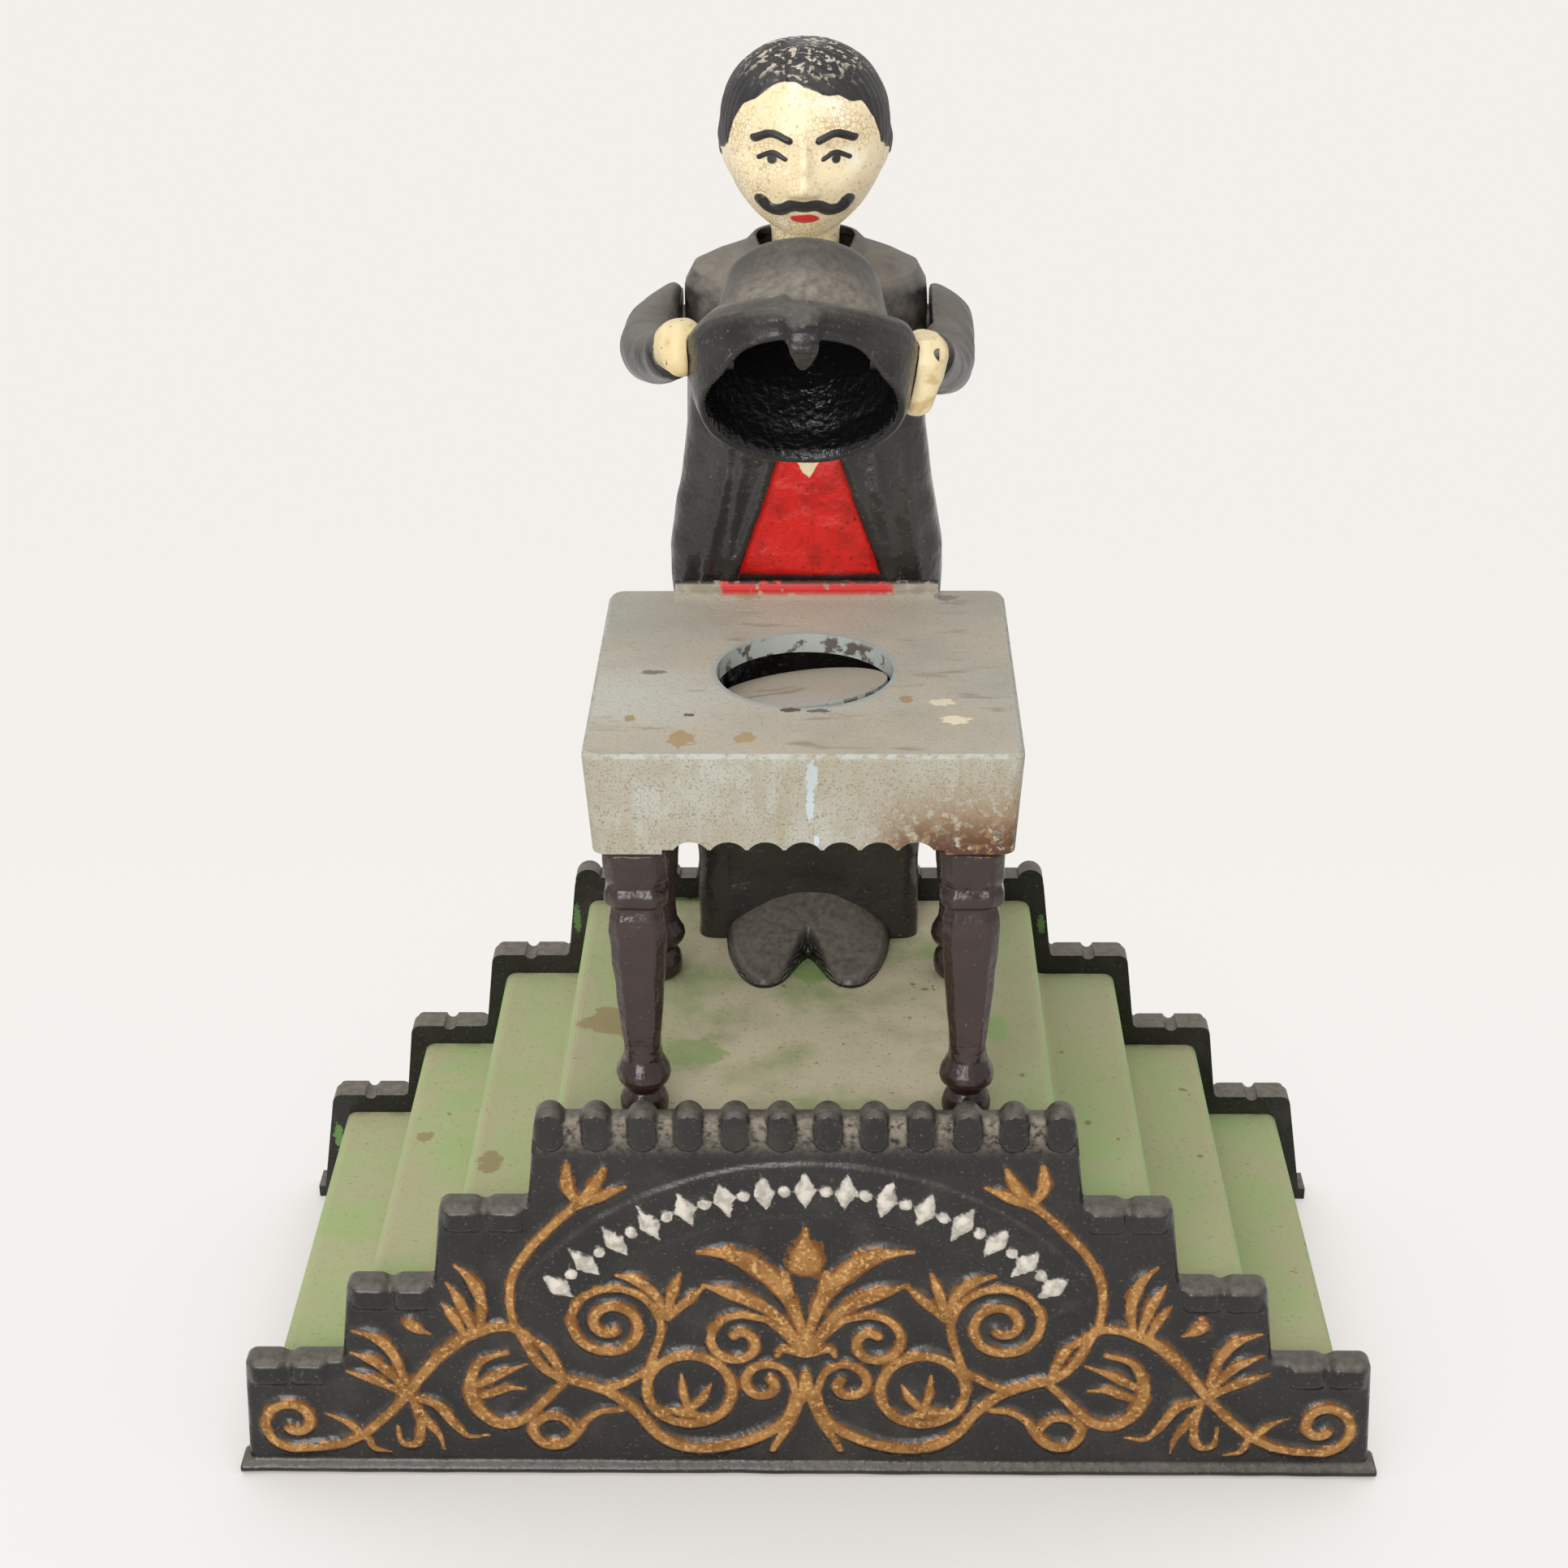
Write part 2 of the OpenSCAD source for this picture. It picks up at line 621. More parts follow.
module coin_trap_rivet() {
    color(steel) translate([coin_exit_x, 0, 0]) {
        translate([0, 0, 0.4]) cylinder(h = plate_t + 1.2, r = 1.5);
        translate([0, 0, plate_t + 1.6]) cylinder(h = 1, r = 2.8);
    }
}

// Table

leg_post_r = 3.2;
lip_w = 41;
lip_h = 1.8;

module table_shell() {
    hw = table_w/2;
    top = rounded_box(-hw, table_front, hw, table_rear, 2);
    foot = rounded_box(-hw + apron_draft, table_front + apron_draft, hw - apron_draft, table_rear, 2);
    difference() {
        hull() {
            translate([0, 0, table_z - 1.2]) linear_extrude(0.6) polygon(top);
            translate([0, 0, table_z - 0.6]) linear_extrude(0.6)
                polygon(rounded_box(-hw + 0.5, table_front + 0.5, hw - 0.5, table_rear, 2));
            translate([0, 0, apron_z]) linear_extrude(0.5) polygon(foot);
        }
        translate([0, 0, apron_z - 1]) linear_extrude(table_under - apron_z + 1)
            polygon(rounded_box(-table_in, table_front + apron_t, table_in, table_rear + 5, 1));
    }
}

// The hollow fillet that runs up from the table towards the figure
module rear_lip() {
    hollow = [for (a = [0:15:75]) [-5 + 4.2*sin(a), 1.6*(1 - cos(a))]];
    translate([-lip_w/2, table_rear, table_z - 0.2]) rotate([90, 0, 90]) linear_extrude(lip_w)
        polygon(concat([[0, 0], [-5, 0]], [for (p = hollow) p + [0, 0.2]], [[-0.6, lip_h + 0.2], [0, lip_h + 0.2]]));
}

module table_top() {
    color(table_grey) difference() {
        union() {
            table_shell();
            rear_lip();
            leg_places() translate([0, 0, table_under - 7]) cylinder(h = 7 + eps, r = leg_post_r + 1.5);
            for (s = [-1, 1])
                translate([s*tab_x, tab_y, tab_z + tab_t]) cylinder(h = table_under - tab_z - tab_t + eps, r = 2.6);
            for (k = [-1, 1])
                translate(concat(hinge_at + trap_along*k*6.6, [hinge_z]))
                    rotate([0, 0, trap_turn]) {
                        translate([-1, -1.9, -1.9]) cube([2, 3.8, hinge_drop + 1.9 + eps]);
                    }
        }
        translate([0, hole_y, table_under - 1]) cylinder(h = table_t + 2, r = hole_d/2);
        leg_places() translate([0, 0, table_under - 8]) cylinder(h = 8, r = leg_post_r + fit);
        for (s = [-1, 1])
            translate([s*tab_x, tab_y, tab_z]) cylinder(h = 8, r = screw_d/2 + fit);
        translate(concat(hinge_at - trap_along*9, [hinge_z]))
            rotate([0, 0, trap_turn]) rotate([0, 90, 0]) cylinder(h = 18, r = hinge_r + fit);
        for (i = [0:scallops - 1])
            along_y((i - (scallops - 1)/2)*scallop_pitch, table_front - 1, apron_z - 0.9, apron_t + 3, scallop_pitch/2 + 0.25);
        translate([-scallop_pitch*scallops/2 - 1.4, table_front - 1, apron_z - 1])
            cube([scallop_pitch*scallops + 2.8, apron_t + 3, 1.7]);
    }
}

// Heights of the turnings of a leg above the deck, each with its radius
leg_profile = [[0, 2.6], [1, 3.3], [2.9, 3.65], [4.6, 3], [5.2, 2.6], [6, 3.2], [7.6, 4.1],
    [9.3, 3.6], [11, 2.9], [13.4, 2.9]];
leg_waist_z = deck_top + 13.4;
leg_wide_z = deck_top + 33;
leg_neck_z = deck_top + 38.2;
leg_block = 9.2;

// A square with its corners cut, at a height
module cut_square(z, w, cut) {
    translate([0, 0, z]) linear_extrude(0.2)
        polygon([for (a = [0:90:270], k = [-1, 1])
            let (p = k < 0 ? [w/2, -w/2 + cut] : [w/2, w/2 - cut])
            [p[0]*cos(a) - p[1]*sin(a), p[0]*sin(a) + p[1]*cos(a)]]);
}

module leg() {
    translate([0, 0, deck_top])
        rotate_extrude() polygon(concat([[0, 0]], [for (p = leg_profile) [p[1], p[0]]], [[0, 13.4]]));
    hull() {
        cut_square(leg_waist_z - 0.1, 5.4, 1.2);
        cut_square(leg_wide_z, 8.5, 1.9);
        cut_square(leg_neck_z - 1, 7.4, 1.9);
    }
    hull() {
        cut_square(leg_neck_z - 1, 7.8, 1.2);
        cut_square(leg_neck_z + 0.2, 9.2, 1);
        cut_square(leg_neck_z + 1.4, 9.2, 1);
        cut_square(leg_neck_z + 2.4, 8.4, 1);
    }
    translate([-leg_block/2, -leg_block/2, leg_neck_z + 2.5])
        cube([leg_block, leg_block, apron_z - leg_neck_z - 3]);
    translate([0, 0, apron_z - 1]) cylinder(h = table_under - apron_z + 1, r = leg_post_r);
    translate([0, 0, deck_top - deck_t - 0.9]) cylinder(h = deck_t + 1, r = leg_peg_r);
    translate([0, 0, deck_top - deck_t - 1]) cylinder(h = 1, r = 2.7);
}

module leg_front_left() {
    color(leg_brown) translate([-leg_x, leg_front, 0]) leg();
}

module leg_front_right() {
    color(leg_brown) translate([leg_x, leg_front, 0]) leg();
}

module leg_rear_left() {
    color(leg_brown) translate([-leg_x, leg_rear, 0]) leg();
}

module leg_rear_right() {
    color(leg_brown) translate([leg_x, leg_rear, 0]) leg();
}

hub_half = 4.5;
hub_r = 1.5;

// Everything that turns on the trap hinge, drawn level about the hinge axis
module on_trap_hinge() {
    translate(concat(hinge_at, [hinge_z])) rotate([0, 0, trap_turn]) rotate([-trap_rest, 0, 0]) children();
}

module trap_disc() {
    up = hinge_drop + table_t - trap_t;
    color(table_grey) on_trap_hinge() difference() {
        union() {
            intersection() {
                translate([0, hinge_off, up]) cylinder(h = trap_t, r = trap_r);
                translate([-20, -0.2, up - 1]) cube([40, 40, trap_t + 2]);
            }
            along_x(-hub_half, 0, 0, 2*hub_half, hub_r);
            translate([-hub_half + 1, -0.2, 0]) cube([2*(hub_half - 1), 0.2 + hub_r, up + eps]);
        }
        along_x(-hub_half - 1, 0, 0, 2*(hub_half + 1), hinge_r + fit);
    }
}

module trap_pin() {
    color(steel) translate(concat(hinge_at - trap_along*8, [hinge_z]))
        rotate([0, 0, trap_turn]) rotate([0, 90, 0]) cylinder(h = 16, r = hinge_r);
}

module coin_trough() {
    l = (trough_rear - trough_front)/cos(trough_slope);
    color(steel) difference() {
        union() {
            translate([0, trough_rear, trough_rear_z - 0.6]) rotate([-trough_slope, 0, 0])
                translate([-trough_out, -l, -sheet_t]) difference() {
                    cube([2*trough_out, l, trough_wall]);
                    translate([sheet_t, -1, sheet_t]) cube([2*chute_half, l + 2, trough_wall]);
                }
            for (s = [-1, 1])
                translate([s > 0 ? trough_out - 0.3 : -tab_x - 3.2, tab_y - 3, tab_z])
                    cube([tab_x + 3.5 - trough_out, 6, tab_t]);
        }
        for (s = [-1, 1])
            translate([s*tab_x, tab_y, tab_z - 1]) cylinder(h = tab_t + 2, r = screw_d/2 + fit);
        translate([-20, trough_rear, 80]) cube([40, 10, 40]);
    }
}

module trough_screws() {
    color(steel) for (s = [-1, 1]) translate([s*tab_x, tab_y, tab_z]) {
        translate([0, 0, -1.4]) cylinder(h = 1.4, r = 2.5);
        translate([0, 0, -eps]) cylinder(h = 7, r = screw_d/2);
    }
}

// Figure

// Share of the height from hem to neck pin, half width, depth in front of the parting plane and behind it
coat_shape = [
    [0, 20.4, 8.2, 9.3], [0.046, 21.2, 8.4, 9.7], [0.12, 21.4, 8.5, 10], [0.204, 21.3, 9.1, 10.2],
    [0.389, 19.6, 9.3, 10.2], [0.574, 18.4, 9.4, 10], [0.759, 18.2, 9.3, 9.8], [0.907, 18.3, 9, 9.4],
    [0.98, 18.2, 8.4, 8.6]
];
// The shoulders and the collar, with heights from the neck pin
collar_shape = [[1.5, 16.8, 7.6, 7.7], [3, 13.6, 7.1, 7.2], [4.4, 9.4, 7, 7], [6, 8, 6.9, 6.9]];
hem_z = deck_top + 57.5;
coat = concat(
    [for (p = coat_shape) [hem_z + (neck_z - hem_z)*p[0], p[1], p[2], p[3]]],
    [for (p = collar_shape) [neck_z + p[0], p[1], p[2], p[3]]]);
// Height above the deck, half width and depth behind the parting plane of the coat tails
tails = [for (p = [[7.5, 17.6, 5.2], [18.5, 17.9, 7.6], [38.5, 18.4, 9]]) [deck_top + p[0], p[1], 0, p[2]]];
square_off = 3.2;

// Half of a rounded oblong, round the front or the back, clockwise from above
function half_ring(z, w, d, n = 20) =
    [for (i = [0:n])
        let (a = 180*i/n, c = cos(a), s = max(sin(a), 0))
        [(d < 0 ? w : -w)*sign(c)*pow(abs(c), 2/square_off), part_y + d*pow(s, 2/square_off), z]];

module coat_front() {
    loft([for (p = coat) half_ring(p[0], p[1], -p[2])]);
}

module coat_back() {
    loft([for (p = concat(tails, coat)) half_ring(p[0], p[1], p[3])]);
}

vest_low = 10.4;
vest_high = 5;
vest_top = 2.6;

module vest_opening() {
    waist_z = (hem_z + neck_z)/2 - 1;
    standing([[-vest_low, hem_z], [vest_low, hem_z], [vest_high, waist_z], [vest_top, neck_z - 5],
        [-vest_top, neck_z - 5], [-vest_high, waist_z]], leg_front_y - 12, leg_front_y + 0.6);
}

cavity_half = 16;
cavity_low = hem_z + 3;
cavity_high = neck_z - 2.5;

module inside_body() {
    standing([[-cavity_half, cavity_low], [cavity_half, cavity_low], [cavity_half, cavity_high],
        [12, cavity_high], [10, cavity_high - 3], [-10, cavity_high - 3], [-12, cavity_high],
        [-cavity_half, cavity_high]], part_y - 5.5, part_y + 6.2);
    translate([1.1 - cavity_half, part_y - 6.6, cavity_low])
        cube([2*(cavity_half - 1.1), 14, cavity_high - cavity_low]);
    translate([-leg_half + body_t, leg_front_y + body_t, deck_top - 1])
        cube([2*(leg_half - body_t), leg_back_y - leg_front_y - 2*body_t, cavity_low - deck_top + 2]);
    translate([-cavity_half, part_y, deck_top + 22.5])
        cube([2*cavity_half, 6.4, cavity_low - deck_top - 20.5]);
    translate([0, part_y, neck_z]) sphere(neck_d/2 + 0.95);
    translate([0, part_y, neck_z]) cylinder(h = 8, r = neck_d/2 + 0.5);
    hull() for (a = [-3, 14]) translate([0, part_y, neck_z]) rotate([a, 0, 0])
        translate([0, 0, 3.5]) cylinder(h = 4.5, r = neck_d/2 + 0.4);
}

module columns() {
    for (s = [-1, 1])
        translate([s*tail_screw_x - 2.5, leg_front_y, deck_top]) cube([5, leg_d, column_h]);
}

module pin_seats() {
    for (s = [-1, 1]) along_x(s > 0 ? neck_d/2 + 1.2 : -neck_d/2 - 5.2, part_y, neck_z, 4, 2.6);
}

module body_bores() {
    along_x(-30, part_y, shaft_z, 60, shaft_d/2 + fit);
    along_x(-neck_d/2 - 4.6, part_y, neck_z, neck_d + 9.2, 1.1 + fit);
    for (s = [-1, 1]) translate([s*figure_screw_x, figure_screw_y, deck_top - 1])
        cylinder(h = 10, r = screw_d/2 + fit);
    translate([rod_x, rod_y, deck_top - 1]) cylinder(h = column_h + 2, r = rod_r + 0.4);
}

module body_front() {
    color(iron_black) difference() {
        union() {
            difference() {
                union() {
                    coat_front();
                    translate([0, 0, deck_top]) linear_extrude(cavity_low - deck_top) polygon(
                        rounded([[-leg_half, part_y, 0], [-leg_half, leg_front_y, 2], [leg_half, leg_front_y, 2],
                            [leg_half, part_y, 0]]));
                    for (s = [-1, 1]) shoe(s);
                }
                vest_opening();
                inside_body();
                translate([-12.9, leg_front_y - 1, deck_top + 9]) cube([25.8, 1.9, hem_z - deck_top - 10]);
            }
            intersection() {
                union() {
                    columns();
                    pin_seats();
                    along_y(body_screw_x, leg_front_y + 0.8, body_screw_z, part_y - leg_front_y - 0.8, 3);
                }
                translate([-30, part_y - 20, deck_top]) cube([60, 20, neck_z]);
            }
        }
        body_bores();
        along_y(body_screw_x, leg_front_y + 2.5, body_screw_z, 20, screw_d/2 + fit);
        along_y(tail_screw_x, leg_back_y - tail_screw_len - 0.6, tail_screw_z, 20, screw_d/2 + fit);
        translate([-trough_out - fit, leg_front_y - 5, trough_rear_z - 3])
            cube([2*(trough_out + fit), body_t + 5 + eps, trough_wall + 9]);
        translate([rod_x - rod_r - 0.4, leg_front_y - 5, finger_z - rod_travel - rod_r - 0.5])
            cube([2*rod_r + 0.8, body_t + 5 + eps, rod_travel + 2*rod_r + 1]);
    }
}

// A shoe, turned out, with its toe towards the table
module shoe(s) {
    heel_y = part_y - 7;
    path = [[s*6.3, heel_y, deck_top + 4], [s*6, heel_y - 6.5, deck_top + 3.6],
        [s*6.2, heel_y - 13.5, deck_top + 2.8], [s*7, heel_y - 17.9, deck_top + 2]];
    intersection() {
        tube(smooth(path, 2), [5.6, 5.9, 6.1, 6, 5.6, 4.6, 2.4], 14);
        translate([-30, part_y - 30, deck_top]) cube([60, 30, 9]);
    }
}

module body_back() {
    color(iron_black) difference() {
        union() {
            difference() {
                union() {
                    coat_back();
                    translate([0, 0, deck_top]) linear_extrude(cavity_low - deck_top) polygon(
                        rounded([[-leg_half, part_y, 0], [leg_half, part_y, 0], [leg_half, leg_back_y, 1.5],
                            [-leg_half, leg_back_y, 1.5]]));
                }
                inside_body();
            }
            intersection() {
                union() {
                    columns();
                    pin_seats();
                    along_y(body_screw_x, part_y, body_screw_z, 9, 3);
                }
                translate([-30, part_y, deck_top]) cube([60, 9, neck_z]);
            }
        }
        body_bores();
        along_y(body_screw_x, part_y - 1, body_screw_z, 20, screw_d/2 + fit);
        along_y(tail_screw_x, part_y - 1, tail_screw_z, 20, screw_d/2 + fit);
        along_y(tail_screw_x, leg_back_y, tail_screw_z, 20, 2.6);
        along_y(body_screw_x, part_y + 8.2, body_screw_z, 20, 2.6);
    }
}

module body_screws() {
    color(steel) {
        translate([body_screw_x, part_y + 8.2, body_screw_z]) cheese_head(body_screw_len);
        translate([tail_screw_x, leg_back_y, tail_screw_z]) cheese_head(tail_screw_len);
    }
}

module cheese_head(len) {
    difference() {
        union() {
            rotate([-90, 0, 0]) cylinder(h = 1.3, r = 2.5);
            rotate([90, 0, 0]) cylinder(h = len, r = screw_d/2);
        }
        translate([-0.35, 0.7, -3]) cube([0.7, 2, 6]);
    }
}

module figure_screws() {
    color(steel) for (s = [-1, 1])
        translate([s*figure_screw_x, figure_screw_y, deck_top - deck_t]) {
            translate([0, 0, -1.5]) cylinder(h = 1.5, r = figure_head_r);
            translate([0, 0, -eps]) cylinder(h = deck_t + 7, r = screw_d/2);
        }
}

// Folded sheet that guides the coin down through the legs to the slot in the deck
module coin_chute() {
    z0 = deck_top;
    z1 = trough_rear_z + 12.5;
    bend0 = z0 + 26;
    bend1 = z0 + 38;
    front = leg_front_y + body_t + 0.2;
    back0 = slot_y + slot_d;
    back1 = part_y + 5.6;
    outside = [[back0 + sheet_t, z0], [back0 + sheet_t, bend0], [back1 + sheet_t, bend1], [back1 + sheet_t, z1]];
    color(steel) {
        for (s = [-1, 1])
            translate([s > 0 ? chute_half : -chute_half - sheet_t, 0, 0]) rotate([90, 0, 90])
                linear_extrude(sheet_t) polygon(concat([[front, z0]], outside, [[front, z1 - 16]]));
        rotate([90, 0, 90]) translate([0, 0, -chute_half - sheet_t/2])
            linear_extrude(2*chute_half + sheet_t) polygon(concat(outside,
                [[back1, z1], [back1, bend1 + 0.2], [back0, bend0 + 0.2], [back0, z0]]));
    }
}

// Half thickness of the head across and front to back at a share t of its height
function head_across(t) = head_w/2*pow(sin(180*pow(t, 1.18)), 0.55);
function head_depth(t) = head_w/2*1.02*pow(sin(180*pow(t, 1.1)), 0.55);

module head_form() {
    n = 24;
    m = 16;
    loft([for (j = [0:m])
        let (t = 0.004 + 0.992*j/m, a = head_across(t), d = head_depth(t))
        [for (i = [0:n - 1])
            let (q = -360*i/n)
            [a*cos(q), d*sin(q) + 1.2*(t - 0.5), head_h*(t - 0.5)]]]);
}

module head() {
    color(skin) difference() {
        union() {
            translate(head_mid) {
                head_form();
                translate([0, -head_w/2 - 0.2, -2.5]) sphere(1.9);
                translate([0, -head_w/2 + 0.4, 0.2]) sphere(1.4);
                for (s = [-1, 1]) translate([s*(head_w/2 - 1), 1.5, -1.5]) sphere(2.1);
            }
            translate([0, part_y, neck_z]) cylinder(h = 12, r = neck_d/2);
            difference() {
                translate([0, part_y, neck_z]) sphere(neck_d/2 + 0.25);
                translate([-10, part_y - 10, neck_z - 20 - 4.3]) cube(20);
            }
        }
        along_x(-10, part_y, neck_z, 20, 1.1 + fit);
    }
}

module head_pin() {
    color(steel) along_x(-neck_d/2 - 4.4, part_y, neck_z, neck_d + 8.8, 1.1);
}

// The arms and the hat are drawn with the hat down on the table, then raised to rest
module raised() {
    translate([0, part_y, shaft_z]) rotate([-arm_swing, 0, 0]) translate([0, -part_y, -shaft_z]) children();
}

// From the shaft to the middle of the hold on the hat, with the hat down and at rest
reach_down = [hole_y - part_y, table_z + gap + hold_z - shaft_z];
reach = [reach_down[0]*cos(arm_swing) + reach_down[1]*sin(arm_swing),
    reach_down[1]*cos(arm_swing) - reach_down[0]*sin(arm_swing)];
// Sleeve of the left and of the right arm: place across, share of the reach, height off it, radius
sleeves = [
    [[0, 0, 0, 4.2], [1.2, 0.13, -0.2, 4.5], [1.8, 0.32, -0.6, 4.5], [1.5, 0.48, -0.9, 4.3],
        [0.1, 0.62, -0.5, 4], [-2, 0.75, 0.9, 3.5], [-3.6, 0.85, 2.8, 2.9]],
    [[0, 0, 0, 4.2], [0.2, 0.13, -0.6, 4.4], [-0.1, 0.32, -2, 4.3], [-0.5, 0.48, -2.8, 4.2],
        [-1.6, 0.62, -2.2, 4], [-3, 0.76, 0.2, 3.5], [-4.1, 0.88, 2.2, 2.9]]
];
// The same for wrist, palm and fingers: a fist on the left, fingers laid along the hat on the right
hands = [
    [[-3.6, 0.85, 2.8, 3.4], [-4.6, 0.95, 4.4, 3.7], [-4.8, 0.985, 2.6, 2.8]],
    [[-4.1, 0.88, 2.4, 3.4], [-4.6, 0.945, 1.8, 3.4], [-5.6, 0.97, -4.4, 2.3]]
];
function arm_place(s, q) =
    [s*(arm_hub_in + 2.2 + q[0]), part_y + reach[0]*q[1], shaft_z + reach[1]*q[1] + q[2]];
// Radius round the shaft within which the arms are flat beside the body
arm_flat_r = 18;

module arm(s) {
    side = s < 0 ? 0 : 1;
    sleeve = smooth(sleeves[side], 2);
    difference() {
        union() {
            tube([for (q = sleeve) arm_place(s, q)], [for (q = sleeve) q[3]], 12);
            hull() for (q = hands[side]) translate(arm_place(s, q)) sphere(q[3], $fn = 14);
            along_x(s > 0 ? arm_hub_in : -arm_hub_out, part_y, shaft_z, arm_hub_out - arm_hub_in, 5.2);
        }
        along_x(s > 0 ? 0 : -arm_hub_in, part_y, shaft_z, arm_hub_in, arm_flat_r);
        along_x(-40, part_y, shaft_z, 80, shaft_d/2 + fit/2);
        raised() translate(hat_centre) hat_solid(0.05);
        raised() translate(hat_centre) along_x(-40, grip_y, grip_z, 80, grip_r + fit/2);
    }
}

module arm_left() {
    color(iron_black) arm(-1);
}

module arm_right() {
    color(iron_black) arm(1);
}

// Outer profile of the hat, from the rim up, grown by g
function hat_outer(g) = concat(
    [[rim_r + g, -g], [rim_r + 0.7 + g, 2], [rim_r + 1.2 + g, brim_z - 2]],
    [[brim_r - 0.3 + g, brim_z - 1.4], [brim_r + g, brim_z - 0.2], [brim_r - 0.5 + g, brim_z + 1 + g]],
    [[crown_r + 1.2 + g, brim_z + 1 + g], [crown_r + g, brim_z + 2.2], [crown_top_r + g, hat_h - 1]],
    [[crown_top_r - 1 + g, hat_h + g]]);

module hat_solid(g) {
    rotate_extrude() polygon(concat([[0, -g]], hat_outer(g), [[0, hat_h + g]]));
}

module hat() {
    color(iron_black) raised() translate(hat_centre) difference() {
        union() {
            hat_solid(0);
            difference() {
                hull() {
                    translate([0, -brim_r - 0.2, brim_z]) sphere(1.5, $fn = 16);
                    translate([0, -crown_r - 1, brim_z + 2.5]) sphere(1.8, $fn = 16);
                    translate([0, -rim_r + 0.8, 1]) sphere(1.5, $fn = 16);
                }
                translate([-10, -30, -10]) cube([20, 40, 10]);
            }
        }
        translate([0, 0, -eps]) rotate_extrude() polygon([
            [0, 0], [rim_r - hat_t, 0], [rim_r - hat_t, 4], [crown_r - hat_t, brim_z + 2.2],
            [crown_top_r - hat_t, hat_h - hat_t - 0.6], [0, hat_h - hat_t - 0.6]]);
        along_x(-30, grip_y, grip_z, 60, grip_r + fit/2);
    }
}

// Half width of the hollow of the hat beside the heads of the rivets
hollow_r = rim_r - hat_t + (crown_r - rim_r)*(grip_z + grip_head_r - 4)/(brim_z - 1.8);
grip_in = sqrt(pow(hollow_r, 2) - pow(grip_head_r - grip_y, 2)) - 0.05;

module hat_rivets() {
    color(steel) raised() translate(hat_centre) for (s = [-1, 1]) scale([s, 1, 1]) {
        along_x(grip_in - 0.1, grip_y, grip_z, brim_r + 2.4 - grip_in, grip_r);
        along_x(grip_in - 0.9, grip_y, grip_z, 0.9, grip_head_r);
    }
}

module arm_shaft() {
    color(steel) along_x(-arm_hub_out - 0.6, part_y, shaft_z, 2*(arm_hub_out + 0.6), shaft_d/2);
}

module arm_crank() {
    color(steel) difference() {
        union() {
            hull() {
                along_x(crank_x, part_y, shaft_z, crank_t, 3.2);
                along_x(crank_x, crank_pin_y, crank_pin_z, crank_t, 1.9);
            }
            along_x(crank_x, part_y, shaft_z, 4, 3.2);
        }
        along_x(-20, part_y, shaft_z, 20, shaft_d/2 + fit/2);
        along_x(-20, crank_pin_y, crank_pin_z, 20, crank_pin_r + fit/2);
    }
}

module crank_pin() {
    len = crank_t + 2*rod_r + 0.9;
    color(steel) {
        along_x(crank_x + crank_t - len, crank_pin_y, crank_pin_z, len, crank_pin_r);
        along_x(crank_x + crank_t - len - 0.6, crank_pin_y, crank_pin_z, 0.65, crank_pin_head_r);
    }
}

lever_hole_r = rod_r + 0.6;

module pull_rod() {
    top = crank_pin_z;
    color(steel) {
        difference() {
            along_x(rod_x - rod_r, rod_y, top, 2*rod_r, eye_r);
            along_x(rod_x - 3, rod_y, top, 6, crank_pin_r + 0.5);
        }
        wire([rod_x, rod_y, lever_z - lever_h/2 - 4], [rod_x, rod_y, top - eye_r + 0.4], rod_r);
        for (z = [lever_z + lever_h/2 + 0.3, lever_z - lever_h/2 - 2.1])
            translate([rod_x, rod_y, z]) cylinder(h = 1.8, r = 2.4);
        wire([rod_x, rod_y, finger_z], [rod_x, finger_at[1], finger_z], rod_r);
        translate([rod_x, finger_at[1], finger_z]) sphere(rod_r);
        wire([rod_x, finger_at[1], finger_z], [finger_at[0], finger_at[1], finger_z], rod_r);
        translate([finger_at[0], finger_at[1], finger_z]) sphere(rod_r);
        translate([finger_at[0], finger_at[1], finger_z]) cylinder(h = finger_tip_z - finger_z - rod_r, r = rod_r);
        translate([finger_at[0], finger_at[1], finger_tip_z - rod_r]) sphere(rod_r);
    }
}

module thumb_lever() {
    y0 = lever_pivot_y - 3.5;
    y1 = base_d/2 + 2.5;
    color(iron_black) difference() {
        union() {
            translate([rod_x - lever_w/2, y0, lever_z - lever_h/2]) cube([lever_w, y1 - y0, lever_h]);
            along_x(rod_x - lever_w/2, lever_pivot_y, lever_z, lever_w, 4);
            translate([rod_x, rod_y, lever_z - lever_h/2]) cylinder(h = lever_h, r = 3.6);
            hull() {
                translate([rod_x, y1 + 1, lever_z + 0.4]) sphere(2.2, $fn = 16);
                for (s = [-1, 1]) translate([rod_x + s*3, lever_end - 4.6, lever_z + 0.8]) sphere(1.8, $fn = 16);
                translate([rod_x, lever_end - 2, lever_z + 0.4]) sphere(2, $fn = 16);
            }
        }
        along_x(-30, lever_pivot_y, lever_z, 40, pivot_r + fit);
        translate([rod_x, rod_y, lever_z - 10]) cylinder(h = 20, r = lever_hole_r);
    }
}

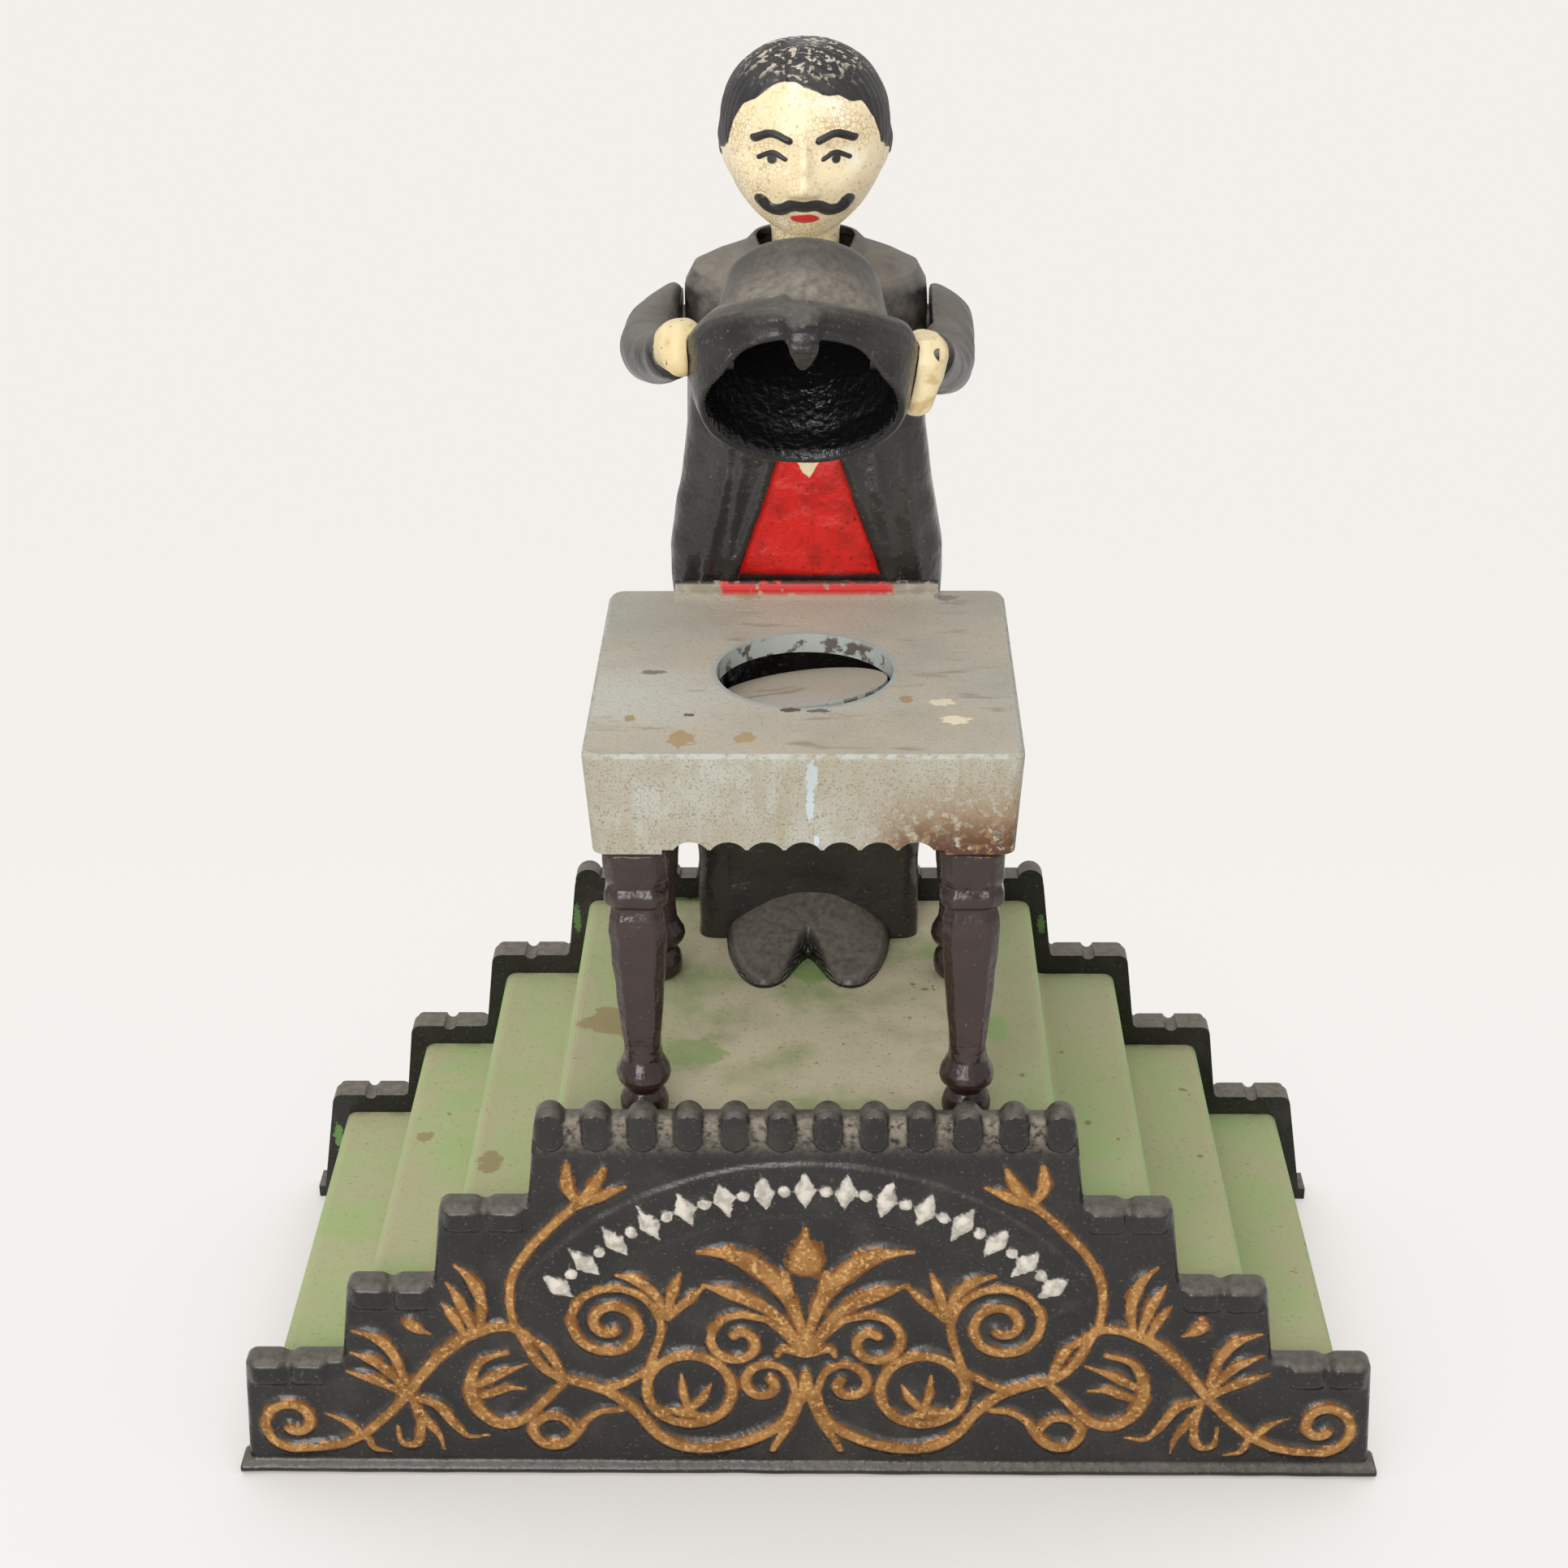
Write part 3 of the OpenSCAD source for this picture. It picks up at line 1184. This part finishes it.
bracket_in = lever_w/2 + gap;
bracket_t = 1.5;

module lever_bracket() {
    color(steel) difference() {
        union() {
            for (s = [-1, 1])
                translate([s > 0 ? rod_x + bracket_in : rod_x - bracket_in - bracket_t, bracket_y - 5, plate_t])
                    cube([bracket_t, 10, lever_z - plate_t + 4]);
            translate([rod_x - bracket_in - bracket_t, bracket_y - 8.5, plate_t])
                cube([2*(bracket_in + bracket_t), 17, bracket_t]);
        }
        along_x(-30, bracket_y, lever_z, 40, pivot_r + fit);
        for (k = [-1, 1]) translate([rod_x, bracket_y + k*bracket_screw_dy, 0])
            cylinder(h = 8, r = screw_d/2 + fit);
    }
}

module bracket_screws() {
    color(steel) for (k = [-1, 1]) translate([rod_x, bracket_y + k*bracket_screw_dy, 0.05])
        screw(plate_t + bracket_t + 1.5);
}

module lever_pin() {
    len = 2*(bracket_in + bracket_t) + 1.6;
    color(steel) {
        along_x(rod_x - len/2, lever_pivot_y, lever_z, len, pivot_r);
        along_x(rod_x + len/2 - 0.05, lever_pivot_y, lever_z, 1, pivot_r + 1);
    }
}

module return_spring() {
    r = (spring_d - spring_wire)/2;
    z0 = plate_t + spring_wire/2 + 0.05;
    h = lever_z - lever_h/2 - z0 - spring_wire/2 - 0.05;
    n = 12;
    path = [for (i = [0:spring_turns*n])
        let (t = i/(spring_turns*n))
        [rod_x + r*cos(360*i/n), spring_y + r*sin(360*i/n), z0 + h*t]];
    color(steel) tube(path, [for (p = path) spring_wire/2], 6);
}

front_panel();
rear_panel();
deck();
tie_screws();
bottom_plate();
plate_screws();
coin_trap_cover();
coin_trap_bar();
coin_trap_rivet();
table_top();
leg_front_left();
leg_front_right();
leg_rear_left();
leg_rear_right();
trap_disc();
trap_pin();
coin_trough();
trough_screws();
body_front();
body_back();
body_screws();
figure_screws();
coin_chute();
head();
head_pin();
arm_left();
arm_right();
arm_shaft();
arm_crank();
crank_pin();
hat();
hat_rivets();
pull_rod();
thumb_lever();
lever_pin();
lever_bracket();
bracket_screws();
return_spring();
